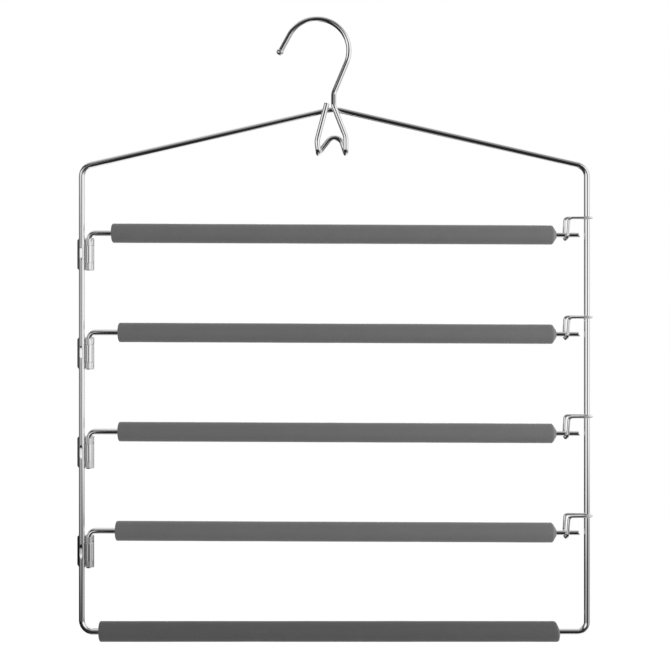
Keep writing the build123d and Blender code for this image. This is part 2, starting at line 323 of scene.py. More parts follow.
def turned_tree():
    """A closed outline turned round the X axis, with long soft waves in its skin."""
    waves_per_metre = 21.0
    wave_detail = 2.0
    tree, given = geometry_tree("Turned Piece", {"Path Radius": "Float", "Sides": "Int",
                                                 "Waviness": "Float", "Seed": "Float"})
    outline = add_node(tree, "GeometryNodeMeshToCurve", {0: given["Geometry"]})
    circle = add_node(tree, "GeometryNodeCurvePrimitiveCircle",
                      {"Resolution": given["Sides"], "Radius": given["Path Radius"]})
    swept = add_node(tree, "GeometryNodeCurveToMesh",
                     {"Curve": circle, "Profile Curve": outline})
    turned = add_node(tree, "GeometryNodeTransform",
                      {"Geometry": swept, "Rotation": (0.0, -math.pi / 2, 0.0)})
    waves = noise(tree, add_node(tree, "GeometryNodeInputPosition"), waves_per_metre,
                  wave_detail, seed=given["Seed"])
    lift = math_node(tree, "MULTIPLY", math_node(tree, "SUBTRACT", waves, 0.5),
                     given["Waviness"])
    offset = scaled(tree, add_node(tree, "GeometryNodeInputNormal"), lift)
    wavy = add_node(tree, "GeometryNodeSetPosition", {"Geometry": turned, "Offset": offset})
    return finish_tree(tree, wavy, given["Material"])


def bead_tree():
    """A small uneven bead of squeezed-out metal at each point, stretched to its shape."""
    lump_scale = 1.7
    lump_height = 0.5
    least_size = 0.75
    tree, given = geometry_tree("Weld Beads", {"Bead Size": "Float"})
    ball = add_node(tree, "GeometryNodeMeshIcoSphere", {"Radius": 1.0, "Subdivisions": 4})
    place = add_node(tree, "GeometryNodeInputPosition")
    lumps = add_node(tree, "ShaderNodeTexNoise", {"Vector": place, "Scale": lump_scale})
    factor = math_node(tree, "MULTIPLY_ADD", lumps, lump_height, least_size)
    lumpy = add_node(tree, "GeometryNodeSetPosition",
                     {"Geometry": ball, "Position": scaled(tree, place, factor)})
    shape = scaled(tree, named(tree, "shape"), given["Bead Size"])
    beads = add_node(tree, "GeometryNodeInstanceOnPoints",
                     {"Points": given["Geometry"], "Instance": lumpy, "Scale": shape})
    return finish_tree(tree, beads, given["Material"])


def linked(name, data):
    """A new object in the scene."""
    thing = bpy.data.objects.new(name, data)
    bpy.context.scene.collection.objects.link(thing)
    return thing


def plain_mesh(maker):
    """What an object comes to, as a plain mesh. The object itself goes."""
    graph = bpy.context.evaluated_depsgraph_get()
    mesh = bpy.data.meshes.new_from_object(maker.evaluated_get(graph))
    bpy.data.objects.remove(maker)
    return mesh


def run_tree(name, base, tree, values):
    """Runs a tree on a base mesh and gives its result as a plain mesh object."""
    maker = linked(name + "_maker", base)
    modifier = maker.modifiers.new("Shape", "NODES")
    modifier.node_group = tree
    sockets = {item.name: item.identifier for item in tree.interface.items_tree
               if item.in_out == "INPUT"}
    for label, value in values.items():
        modifier[sockets[label]] = value
    mesh = plain_mesh(maker)
    bpy.data.meshes.remove(base)
    mesh.name = name
    return linked(name, mesh)


# Lines

def arc_about(centre, radius, start, end, steps):
    """Points of an arc in the XZ plane, by angle from +X towards +Z."""
    angles = [start + (end - start) * i / steps for i in range(steps + 1)]
    return [centre + radius * Vector((math.cos(a), 0.0, math.sin(a))) for a in angles]


def rounded(points, radii, steps, closed=False):
    """The line through the points, with each corner replaced by an arc of its radius."""
    result = []
    count = len(points)
    for i, corner in enumerate(points):
        radius = radii[i]
        if not radius or (not closed and i in (0, count - 1)):
            result.append(corner.copy())
            continue
        before = (points[i - 1] - corner).normalized()
        after = (points[(i + 1) % count] - corner).normalized()
        half = before.angle(after) / 2
        bisector = (before + after).normalized()
        centre = corner + bisector * (radius / math.sin(half))
        first = corner + before * (radius / math.tan(half)) - centre
        last = corner + after * (radius / math.tan(half)) - centre
        turn = first.angle(last)
        for step in range(steps + 1):
            share = step / steps
            mixed = first * math.sin((1 - share) * turn) + last * math.sin(share * turn)
            result.append(centre + mixed / math.sin(turn))
    return result


def divided(points, step, closed=False):
    """The same line, with points added so that no run is longer than the step."""
    result = []
    for start, end in zip(points, points[1:] + (points[:1] if closed else [])):
        pieces = max(1, math.ceil((end - start).length / step))
        result += [start.lerp(end, i / pieces) for i in range(pieces)]
    return result if closed else result + [points[-1]]


def line_mesh(name, points, closed=False):
    """A mesh of edges from point to point."""
    mesh = bpy.data.meshes.new(name)
    edges = [(i, i + 1) for i in range(len(points) - 1)]
    if closed:
        edges.append((len(points) - 1, 0))
    mesh.from_pydata(points, edges, [])
    return mesh


# Pieces

def settle(piece, node):
    """Puts a piece in place of its CAD node, once its size agrees with that node's."""
    most = 1.2 * MM
    low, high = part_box(node)
    for axis in range(3):
        values = [v.co[axis] for v in piece.data.vertices]
        misfit = max(abs(min(values) - low[axis]), abs(max(values) - high[axis]))
        if misfit > most:
            raise RuntimeError(f"{piece.name} is {misfit / MM:.2f} mm off {node} on axis {axis}")
    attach(piece, piece_body(node))
    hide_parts(node)


def piece_body(node):
    for body, members in frame["record"]["behaviour"]["bodies"].items():
        if node in members:
            return body
    raise RuntimeError(f"no body holds {node}")


def open_mesh(piece):
    """A piece's mesh, opened for changes."""
    shape = bmesh.new()
    shape.from_mesh(piece.data)
    return shape


def close_mesh(shape, piece):
    """Gives an opened mesh, with its changes, to the piece."""
    shape.to_mesh(piece.data)
    shape.free()


def split(shape, point, normal, **choices):
    """Cuts an opened mesh's faces in two at a plane."""
    parts = shape.verts[:] + shape.edges[:] + shape.faces[:]
    return bmesh.ops.bisect_plane(shape, geom=parts, plane_co=point, plane_no=normal, **choices)


def make_wire(name, points, radius, closed=False):
    """A chromed wire along the points, with rings close to its ends that keep its runs even."""
    if not closed:
        near = radius / 2
        first = points[0].lerp(points[1], near / (points[1] - points[0]).length)
        last = points[-1].lerp(points[-2], near / (points[-1] - points[-2]).length)
        points = [points[0], first] + points[1:-1] + [last, points[-1]]
    return run_tree(name, line_mesh(name, points, closed), trees["wire"], {
        "Wire Radius": radius, "Sides": settings().wire.sides, "Material": finishes["chrome"]})


def round_sharp_edges(piece, width, limit=math.radians(50)):
    """Rounds every edge sharper than the limit, as plating and tumbling do."""
    shape = open_mesh(piece)
    sharp = [e for e in shape.edges if e.is_manifold and e.calc_face_angle() > limit]
    bmesh.ops.bevel(shape, geom=sharp, offset=width, offset_type="OFFSET", segments=3,
                    profile=0.5, affect="EDGES")
    close_mesh(shape, piece)
    smooth_by_angle(piece)


def smooth_by_angle(piece, limit=math.radians(35)):
    piece.data.shade_smooth()
    piece.data.set_sharp_from_angle(angle=limit)


def cut_off(piece, point, normal):
    """Cuts away what lies on the normal's side of a plane and closes the cut."""
    shape = open_mesh(piece)
    cut = split(shape, point, normal, clear_outer=True)
    rim = [g for g in cut["geom_cut"] if isinstance(g, bmesh.types.BMEdge)]
    bmesh.ops.edgeloop_fill(shape, edges=rim)
    bmesh.ops.recalc_face_normals(shape, faces=shape.faces)
    close_mesh(shape, piece)


def face_out(piece):
    """Merges doubled points and turns every face outwards."""
    same_place = 0.001 * MM
    shape = open_mesh(piece)
    bmesh.ops.remove_doubles(shape, verts=shape.verts, dist=same_place)
    bmesh.ops.recalc_face_normals(shape, faces=shape.faces)
    close_mesh(shape, piece)


def arm_places(number):
    """Pin axis, bar height at the pin, pin foot, free end and fall of one arm."""
    radius = settings().wire.arm_wire / 2
    low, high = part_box(f"swing_arm_{number}")
    pin = low[0] + radius
    return {"pin": pin, "y": (low[1] + high[1]) / 2, "bar": high[2] - radius, "foot": low[2],
            "end": high[0], "slope": settings().arm.droop / (high[0] - pin)}


def bar_height(at, x):
    """Height of a bar's axis at x."""
    return at["bar"] - at["slope"] * (x - at["pin"])


def upright_places():
    """Axes of the two uprights."""
    radius = settings().wire.frame_wire / 2
    low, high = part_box("frame_wire")
    return low[0] + radius, high[0] - radius


def apex_place():
    """Where the two shoulder lines would meet, were the apex not bent round."""
    sizes = settings().frame
    left, right = upright_places()
    middle = (left + right) / 2
    slope = math.atan2(sizes.shoulder_fall, right - middle)
    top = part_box("frame_wire")[1][2] - settings().wire.frame_wire / 2
    return middle, top + sizes.apex_bend * (1 / math.cos(slope) - 1)


class HANGER_OT_frame(bpy.types.Operator):
    """Bend the closed frame wire, with the dents of its bracket welds"""
    bl_idname = "hanger.frame"
    bl_label = "Frame Wire"

    def execute(self, context):
        longest_run = 40 * MM
        crease = math.radians(60)
        sizes = settings().frame
        radius = settings().wire.frame_wire / 2
        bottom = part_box("frame_wire")[0][2] + radius
        left, right = upright_places()
        middle, apex = apex_place()
        shoulder = apex - sizes.shoulder_fall
        corners = [(middle, bottom), (left, bottom), (left, shoulder), (middle, apex),
                   (right, shoulder), (right, bottom)]
        bends = [0.0, sizes.left_foot_bend, sizes.shoulder_bend, sizes.apex_bend,
                 sizes.shoulder_bend, sizes.right_foot_bend]
        points = rounded([Vector((x, 0.0, z)) for x, z in corners], bends,
                         settings().wire.bend_steps, closed=True)
        points = divided(points, longest_run, closed=True)
        piece = make_wire("bent_frame_wire", points, radius, closed=True)
        for number in ARM_NUMBERS:
            press_dent(piece, left, arm_places(number)["bar"] - sizes.dent_drop)
        smooth_by_angle(piece, crease)
        settle(piece, "frame_wire")
        return {"FINISHED"}


def press_dent(piece, x, z):
    """Presses one electrode's dent into the front of the upright at x."""
    cuts = 26
    cut_share = 1.15
    width_share = 1.01
    sizes = settings().frame
    radius = settings().wire.frame_wire / 2
    half = sizes.dent_length / 2
    floor = sizes.dent_depth - radius
    shape = open_mesh(piece)
    for i in range(cuts + 1):
        height = z - half * cut_share + 2 * cut_share * half * i / cuts
        near = [f for f in shape.faces if abs(f.calc_center_median().x - x) < radius
                and min(v.co.z for v in f.verts) < height < max(v.co.z for v in f.verts)]
        parts = {e for f in near for e in f.edges} | {v for f in near for v in f.verts}
        bmesh.ops.bisect_plane(shape, geom=near + list(parts), plane_co=(x, 0.0, height),
                               plane_no=(0.0, 0.0, 1.0))
    inward = Vector((math.sin(sizes.dent_turn), math.cos(sizes.dent_turn), 0.0))
    for vertex in shape.verts:
        if abs(vertex.co.x - x) < width_share * radius and abs(vertex.co.z - z) < half:
            rise = vertex.co.z - z
            surface = floor - sizes.dent_depth * (rise / half) ** 4
            place = (vertex.co - Vector((x, 0.0, 0.0))).dot(inward)
            if place < surface:
                vertex.co += (surface - place) * inward
    close_mesh(shape, piece)


class HANGER_OT_hook(bpy.types.Operator):
    """Bend the rail hook with its stem and folded double loop, and press on its cap"""
    bl_idname = "hanger.hook"
    bl_label = "Hook"

    def execute(self, context):
        points, tail_way = hook_line()
        radius = settings().wire.hook_wire / 2
        piece = make_wire("bent_hook", points, radius)
        round_sharp_edges(piece, settings().wire.cut_rounding)
        settle(piece, "hook")
        make_cap(points[0], tail_way, radius)
        return {"FINISHED"}


def hook_line():
    """Centre line of the hook from its free end, and the way that end points."""
    s = settings().hook
    wire = settings().wire
    radius = wire.hook_wire / 2
    bend = s.inside_diameter / 2 + radius
    centre = Vector((0.0, 0.0, -s.inside_diameter / 2))
    rail_steps = 5 * wire.bend_steps
    rail = arc_about(centre, bend, math.pi - s.tail_angle, -s.neck_angle, rail_steps)
    tail_way = Vector((-math.sin(s.tail_angle), 0.0, -math.cos(s.tail_angle)))
    neck = rail[-1]
    stem_top = neck.z - (neck.x - s.stem_offset) / math.tan(s.neck_angle)
    stem_foot = stem_top - s.stem_length
    leg_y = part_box("hook")[0][1] + radius
    fold_y = leg_y + 2 * s.fold_bend + s.fold_straight
    left_foot = s.left_foot
    right_foot = left_foot + s.loop_width
    right_knee = stem_foot - (right_foot - s.stem_offset) / math.tan(s.right_leg_angle)
    foot = right_knee - s.right_foot_length
    peak_rise = s.loop_width / (math.tan(s.left_slope) + math.tan(s.right_slope))
    peak = left_foot + peak_rise * math.tan(s.left_slope)
    left_knee = left_foot - s.left_foot_length * math.tan(s.left_foot_angle)
    left_knee_z = foot + s.left_foot_length
    left_top = left_knee + (-s.left_leg_top - left_knee_z) * math.tan(s.left_leg_angle)
    corners = [
        (neck.x, 0.0, neck.z), (s.stem_offset, 0.0, stem_top), (s.stem_offset, leg_y, stem_foot),
        (right_foot, leg_y, right_knee), (right_foot, leg_y, foot), (right_foot, fold_y, foot),
        (peak, fold_y, foot + peak_rise), (left_foot, fold_y, foot), (left_foot, leg_y, foot),
        (left_knee, leg_y, left_knee_z), (left_top, leg_y, -s.left_leg_top),
    ]
    bends = [0.0, s.stem_bend, s.stem_bend, s.leg_bend, s.fold_bend, s.fold_bend,
             s.peak_bend, s.fold_bend, s.fold_bend, s.leg_bend, 0.0]
    legs = rounded([Vector(c) for c in corners], bends, wire.bend_steps)
    return [rail[0] + s.tail_length * tail_way] + rail + legs[1:], tail_way


def make_cap(end, way, wire_radius):
    """The domed bead on the hook's free end, turned about the tail's axis."""
    grip = 1.6 * MM
    height = 3.5 * MM
    gap = 0.03 * MM
    pole = 0.02 * MM
    lip_rounding = 0.15 * MM
    grip_rounding = 0.7 * MM
    dome_rounding = 1.9 * MM
    low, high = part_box("hook_tip_cap")
    radius = (high[1] - low[1]) / 2
    bore = wire_radius + gap
    corners = [(-grip, bore), (-grip, radius), (height - grip, radius), (height - grip, pole),
               (gap, pole), (gap, bore)]
    outline = rounded([Vector((radial - radius / 2, axial, 0.0)) for axial, radial in corners],
                      [lip_rounding, grip_rounding, dome_rounding, 0.0, 0.0, 0.0],
                      settings().wire.bend_steps, closed=True)
    piece = run_tree("domed_cap", line_mesh("cap", outline, True), trees["turned"], {
        "Path Radius": radius / 2, "Sides": settings().wire.sides, "Waviness": 0.0,
        "Seed": 0.0, "Material": finishes["chrome_cap"]})
    turn = Vector((1.0, 0.0, 0.0)).rotation_difference(way).to_matrix().to_4x4()
    piece.data.transform(Matrix.Translation(end) @ turn)
    face_out(piece)
    smooth_by_angle(piece)
    settle(piece, "hook_tip_cap")


class HANGER_OT_arms(bpy.types.Operator):
    """Bend the swing arms, each with its hinge pin and its sheared free end"""
    bl_idname = "hanger.arms"
    bl_label = "Swing Arms"

    def execute(self, context):
        sizes = settings().arm
        radius = settings().wire.arm_wire / 2
        shear = Vector((math.cos(sizes.shear_angle), 0.0, math.sin(sizes.shear_angle)))
        for number in ARM_NUMBERS:
            at = arm_places(number)
            points = [Vector((at["pin"], at["y"], at["foot"])),
                      Vector((at["pin"], at["y"], at["bar"]))]
            for x in (at["end"] - radius, at["end"] + 2 * radius):
                points.append(Vector((x, at["y"], bar_height(at, x))))
            points = rounded(points, [0.0, sizes.pin_bend, 0.0, 0.0],
                             settings().wire.bend_steps)
            piece = make_wire(f"bent_arm_{number}", points, radius)
            tip = Vector((at["end"], at["y"], bar_height(at, at["end"]) - radius))
            cut_off(piece, tip, shear)
            round_sharp_edges(piece, settings().wire.cut_rounding)
            settle(piece, f"swing_arm_{number}")
        return {"FINISHED"}


class HANGER_OT_foam(bpy.types.Operator):
    """Make the foam sleeves of the swing arms and of the frame's bottom run"""
    bl_idname = "hanger.foam"
    bl_label = "Foam Sleeves"

    def execute(self, context):
        arm_slants = (0.03, 0.0)
        bottom_slants = (0.06, 0.15)
        bottom_seed = 7.0
        sizes = settings().foam
        wire = settings().wire
        for number in ARM_NUMBERS:
            node = f"foam_sleeve_{number}"
            at = arm_places(number)
            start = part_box(node)[0][0]
            make_sleeve(f"foam_{number}", node, Vector((start, at["y"], bar_height(at, start))),
                        at["slope"], wire.arm_wire / 2, (sizes.start_rounding, sizes.end_rounding),
                        (sizes.start_bulge, sizes.end_bulge), arm_slants, number, "foam")
        low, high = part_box("bottom_foam_sleeve")
        make_sleeve("bottom_foam", "bottom_foam_sleeve",
                    Vector((low[0], 0.0, (low[2] + high[2]) / 2)), 0.0, wire.frame_wire / 2,
                    (sizes.bottom_start_rounding, sizes.bottom_end_rounding),
                    (sizes.bottom_start_bulge, sizes.bottom_end_bulge), bottom_slants,
                    bottom_seed, "bottom_foam")
        return {"FINISHED"}


def make_sleeve(name, node, start, slope, wire_radius, roundings, bulges, slants, seed, finish):
    """A foam tube whose end faces swell a little, lean and close in on the wire."""
    rim = 0.3 * MM
    start_crown_share = 0.35
    end_crown_share = 0.14
    sizes = settings().foam
    low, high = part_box(node)
    run = (high[0] - low[0]) / math.cos(math.atan(slope))
    radius = (high[1] - low[1]) / 2
    bore = wire_radius + sizes.bore_clearance
    corners = [
        (rim, bore), (0.0, bore + start_crown_share * (radius - bore)), (bulges[0], radius),
        (run - bulges[1], radius), (run, bore + end_crown_share * (radius - bore)),
        (run - rim, bore)]
    outline = rounded([Vector((radial - radius / 2, axial, 0.0)) for axial, radial in corners],
                      [rim / 2, rim, roundings[0], roundings[1], rim, rim / 2],
                      settings().wire.bend_steps, closed=True)
    outline = divided(outline, sizes.step, closed=True)
    piece = run_tree(name, line_mesh(name, outline, True), trees["turned"], {
        "Path Radius": radius / 2, "Sides": sizes.sides, "Waviness": sizes.waviness,
        "Seed": float(seed), "Material": finishes[finish]})
    reach = 2 * radius
    for vertex in piece.data.vertices:
        near = (max(0.0, 1 - vertex.co.x / reach), max(0.0, 1 - (run - vertex.co.x) / reach))
        vertex.co.x -= vertex.co.z * (slants[0] * near[0] + slants[1] * near[1])
    piece.data.transform(Matrix.Translation(start) @ Matrix.Rotation(math.atan(slope), 4, "Y"))
    face_out(piece)
    smooth_by_angle(piece)
    settle(piece, node)


class HANGER_OT_brackets(bpy.types.Operator):
    """Stamp the hinge brackets, each a plate with a strap lanced out round the arm's pin"""
    bl_idname = "hanger.brackets"
    bl_label = "Hinge Brackets"

    def execute(self, context):
        crease = math.radians(14)
        for number in ARM_NUMBERS:
            node = f"hinge_bracket_{number}"
            plate = make_plate(number)
            join(plate, make_strap(number))
            # Painted shade: the bent-back flange left of this line gets a darker colour in place of
            # its dark reflection
            paint_flange_shade(plate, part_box(node)[0][0] + settings().bracket.flange_width)
            smooth_by_angle(plate, crease)
            settle(plate, node)
        return {"FINISHED"}


def join(target, other):
    """Adds the other piece's mesh to the target's and deletes the other."""
    shape = open_mesh(target)
    shape.from_mesh(other.data)
    close_mesh(shape, target)
    bpy.data.objects.remove(other)


def plate_front(number):
    """Depth of the plate's front face, which the arm's pin all but touches."""
    return arm_places(number)["y"] + settings().wire.arm_wire / 2 + settings().bracket.clearance


def make_plate(number):
    """The plate with its window, as a flat outline with rolled edges, stood behind the pin."""
    chamfer_rounding = 0.6 * MM
    square_rounding = 0.4 * MM
    rounding_steps = 5
    s = settings().bracket
    at = arm_places(number)
    low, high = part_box(f"hinge_bracket_{number}")
    edge = s.edge_rounding
    left, right = low[0] + edge, high[0] - edge
    bottom, top = low[2] + edge, high[2] - edge
    corners = [(left, bottom + s.corner), (left + s.corner, bottom), (right, bottom),
               (right, top), (left + s.corner, top), (left, top - s.corner)]
    roundings = [chamfer_rounding] * 2 + [square_rounding] * 2 + [chamfer_rounding] * 2
    outer = rounded([Vector((x, z, 0.0)) for x, z in corners], roundings, rounding_steps,
                    closed=True)
    window = settings().wire.arm_wire / 2 + s.clearance
    hole_left, hole_right = at["pin"] - window - edge, at["pin"] + window + edge
    strap_top = at["bar"] - s.strap_drop
    hole_bottom, hole_top = strap_top - s.strap_height - edge, strap_top + edge
    hole = [(hole_left, hole_bottom), (hole_left, hole_top), (hole_right, hole_top),
            (hole_right, hole_bottom)]
    curve = bpy.data.curves.new("plate", "CURVE")
    curve.dimensions = "2D"
    curve.fill_mode = "BOTH"
    curve.extrude = s.plate_thickness / 2 - edge
    curve.bevel_depth = edge
    curve.bevel_resolution = 2
    flat_outline(curve, outer)
    flat_outline(curve, [Vector((x, z, 0.0)) for x, z in hole])
    mesh = plain_mesh(linked("plate_maker", curve))
    middle = plate_front(number) + s.plate_thickness / 2
    mesh.transform(Matrix(((1, 0, 0, 0), (0, 0, -1, middle), (0, 1, 0, 0), (0, 0, 0, 1))))
    mesh.materials.clear()
    mesh.materials.append(finishes["plate"])
    piece = linked(f"hinge_plate_{number}", mesh)
    face_out(piece)
    lean_back(piece, high[2] - s.rollover_height, middle)
    bend_flange(piece, low[0] + s.flange_width)
    return piece


def flat_outline(curve, points):
    """Adds a closed outline to a flat curve."""
    spline = curve.splines.new("POLY")
    spline.points.add(len(points) - 1)
    for target, point in zip(spline.points, points):
        target.co = (point.x, point.y, 0.0, 1.0)
    spline.use_cyclic_u = True


def lean_back(piece, z, middle):
    """Leans back the front face above z, which leaves room for the arm's bend behind the pin."""
    s = settings().bracket
    shape = open_mesh(piece)
    split(shape, (0.0, 0.0, z), (0.0, 0.0, 1.0))
    for vertex in shape.verts:
        if vertex.co.y < middle and vertex.co.z > z:
            vertex.co.y += s.rollover_depth * (vertex.co.z - z) / s.rollover_height
    close_mesh(shape, piece)


def bend_flange(piece, x):
    """Bends back what lies to the left of x, in small steps."""
    cuts = 8
    s = settings().bracket
    start = x + s.flange_bend * math.tan(s.flange_angle / 2)
    arc = s.flange_bend * math.sin(s.flange_angle)
    shape = open_mesh(piece)
    for i in range(cuts + 1):
        split(shape, (start - arc * i / cuts, 0.0, 0.0), (1.0, 0.0, 0.0))
    for vertex in shape.verts:
        past = max(0.0, start - vertex.co.x)
        on_arc = min(past, arc)
        vertex.co.y += s.flange_bend - math.sqrt(s.flange_bend ** 2 - on_arc ** 2)
        vertex.co.y += (past - on_arc) * math.tan(s.flange_angle)
    close_mesh(shape, piece)


def paint_flange_shade(piece, x):
    """Marks what lies to the left of x, where the finish paints shade in place of the flange's dark
    reflection.
    """
    painted_shade_marks = piece.data.attributes.new("shade", "FLOAT", "POINT")
    for vertex, mark in zip(piece.data.vertices, painted_shade_marks.data):
        mark.value = 1.0 if vertex.co.x < x else 0.0


def make_strap(number):
    """The strap: an arch round the front of the pin, whose feet flare into the plate."""
    arch_steps = 18
    flare_steps = 6
    sunk = 0.04 * MM
    root_share = 0.9
    rim_angle = math.radians(60)
    s = settings().bracket
    at = arm_places(number)
    inner = settings().wire.arm_wire / 2 + s.clearance
    outer = inner + s.strap_thickness
    front = plate_front(number) - at["y"]
    back = front + root_share * s.plate_thickness
    flare = s.root_rounding

    def arch(radius, start, end):
        return [Vector((radius * math.cos(a), radius * math.sin(a), 0.0))
                for a in (start + (end - start) * i / arch_steps for i in range(arch_steps + 1))]

    def foot(side):
        centre = Vector((side * (outer + flare), front + sunk - flare, 0.0))
        return [centre + flare * Vector((-side * math.cos(a), math.sin(a), 0.0))
                for a in (math.pi / 2 * i / flare_steps for i in range(flare_steps + 1))]

    profile = arch(outer, -math.pi, 0.0) + foot(1)
    profile += [Vector((outer + flare, back, 0.0)), Vector((inner, back, 0.0))]
    profile += arch(inner, 0.0, -math.pi)
    profile += [Vector((-inner, back, 0.0)), Vector((-outer - flare, back, 0.0))]
    profile += reversed(foot(-1))
    shape = bmesh.new()
    top = at["bar"] - s.strap_drop
    ring = [shape.verts.new((at["pin"] + p.x, at["y"] + p.y, top)) for p in profile]
    solid = bmesh.ops.extrude_face_region(shape, geom=[shape.faces.new(ring)])
    for item in solid["geom"]:
        if isinstance(item, bmesh.types.BMVert):
            item.co.z -= s.strap_height
    bmesh.ops.recalc_face_normals(shape, faces=shape.faces)
    piece = linked(f"strap_{number}", bpy.data.meshes.new("strap"))
    close_mesh(shape, piece)
    piece.data.materials.append(finishes["plate"])
    round_sharp_edges(piece, s.strap_rounding, rim_angle)
    return piece


class HANGER_OT_catches(bpy.types.Operator):
    """Bend the catches, each round the right upright and down into a cradle"""
    bl_idname = "hanger.catches"
    bl_label = "Catches"

    def execute(self, context):
        end_rounding = 0.12 * MM
        s = settings().catch
        wire = settings().wire
        radius = wire.catch_wire / 2
        upright = upright_places()[1]
        foot = upright - s.foot_reach
        leg_top = upright - s.reach
        half_gap = s.end_gap / 2
        for number in ARM_NUMBERS:
            low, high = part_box(f"catch_{number}")
            ring = high[0] - radius
            leg = high[1] - radius
            half_ring = ring - upright
            cradle, top = low[2] + radius, high[2] - radius
            corners = [
                (foot, half_gap, cradle), (foot - s.foot_skew, leg, cradle),
                (leg_top - s.skew, leg, top), (ring, half_ring, top), (ring, -half_ring, top),
                (leg_top + s.skew, -leg, top), (foot + s.foot_skew, -leg, cradle),
                (foot, -half_gap, cradle)]
            ring_bend = half_ring - s.ring_straight / 2
            bends = [0.0, s.cradle_bend, s.bend, ring_bend, ring_bend, s.bend, s.cradle_bend,
                     0.0]
            points = rounded([Vector(c) for c in corners], bends, wire.bend_steps)
            piece = make_wire(f"bent_catch_{number}", points, radius)
            round_sharp_edges(piece, end_rounding)
            settle(piece, f"catch_{number}")
        return {"FINISHED"}


class HANGER_OT_welds(bpy.types.Operator):
    """Squeeze out the small weld beads where wires and plates cross"""
    bl_idname = "hanger.welds"
    bl_label = "Weld Beads"

    def execute(self, context):
        # Half of each bead's width, depth and height, in bead sizes
        plate_bead = (0.6, 0.45, 2.6)
        catch_bead = (1.1, 0.35, 1.25)
        hook_bead = (1.5, 0.6, 1.5)
        plate_bead_aside = 1.1 * MM
        plate_bead_forward = 0.25 * MM
        catch_bead_clear = 0.05 * MM
        s = settings()
        left, right = upright_places()
        frame_radius = s.wire.frame_wire / 2
        catch_radius = s.wire.catch_wire / 2
        beads = []
        for number in ARM_NUMBERS:
            spot = arm_places(number)["bar"] - s.frame.dent_drop
            front = plate_front(number) - plate_bead_forward
            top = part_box(f"catch_{number}")[1][2] - catch_radius
            beads += [((left + side * plate_bead_aside, front, spot), plate_bead)
                      for side in (-1, 1)]
            beads += [((right, side * (frame_radius + catch_bead_clear), top), catch_bead)
                      for side in (-1, 1)]
        leg_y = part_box("hook")[0][1] + s.wire.hook_wire / 2
        joint_y = (leg_y + s.wire.hook_wire / 2 - frame_radius) / 2
        beads += [((spot.x, joint_y, spot.z), hook_bead) for spot in hook_crossings()]
        base = bpy.data.meshes.new("weld_points")
        base.from_pydata([place for place, shape in beads], [], [])
        shapes = base.attributes.new("shape", "FLOAT_VECTOR", "POINT")
        for item, (place, shape) in zip(shapes.data, beads):
            item.vector = shape
        piece = run_tree("weld_beads", base, trees["bead"], {
            "Bead Size": 1.0 * MM, "Material": finishes["plate"]})
        smooth_by_angle(piece)
        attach(piece, "root")
        return {"FINISHED"}


def hook_crossings():
    """Where the hook's two front legs cross the middle line of the shoulder wires."""
    front_depth = 1.0 * MM
    points = hook_line()[0]
    middle, apex = apex_place()
    slope = settings().frame.shoulder_fall / (upright_places()[1] - middle)
    leg_y = min(p.y for p in points)
    found = []
    for start, end in zip(points, points[1:]):
        if max(start.y, end.y) > leg_y + front_depth:
            continue
        gaps = [p.z - (apex - slope * abs(p.x - middle)) for p in (start, end)]
        if gaps[0] * gaps[1] < 0:
            found.append(start.lerp(end, gaps[0] / (gaps[0] - gaps[1])))
    if len(found) != 2:
        raise RuntimeError(f"the hook crosses the frame {len(found)} times, not twice")
    return found


# Finishes

def empty_tree(owner):
    """The node tree of a material or of the surroundings, with nothing in it yet."""
    owner.use_nodes = True
    owner.node_tree.nodes.clear()
    return owner.node_tree


def new_material(name):
    material = bpy.data.materials.new(name)
    return material, empty_tree(material)


def noise(tree, vector, scale, detail, roughness=0.5, seed=0.0):
    return add_node(tree, "ShaderNodeTexNoise",
                    {"Vector": vector, "W": seed, "Scale": scale, "Detail": detail,
                     "Roughness": roughness}, noise_dimensions="4D")


def mottled(tree, value, colour, spread):
    """The colour, made a little darker and lighter by a value from 0 to 1."""
    dark = tuple(c * (1 - spread) for c in colour) + (1.0,)
    light = tuple(min(1.0, c * (1 + spread)) for c in colour) + (1.0,)
    return add_node(tree, "ShaderNodeMix", {"Factor": value, 6: dark, 7: light},
                    data_type="RGBA").outputs[2]


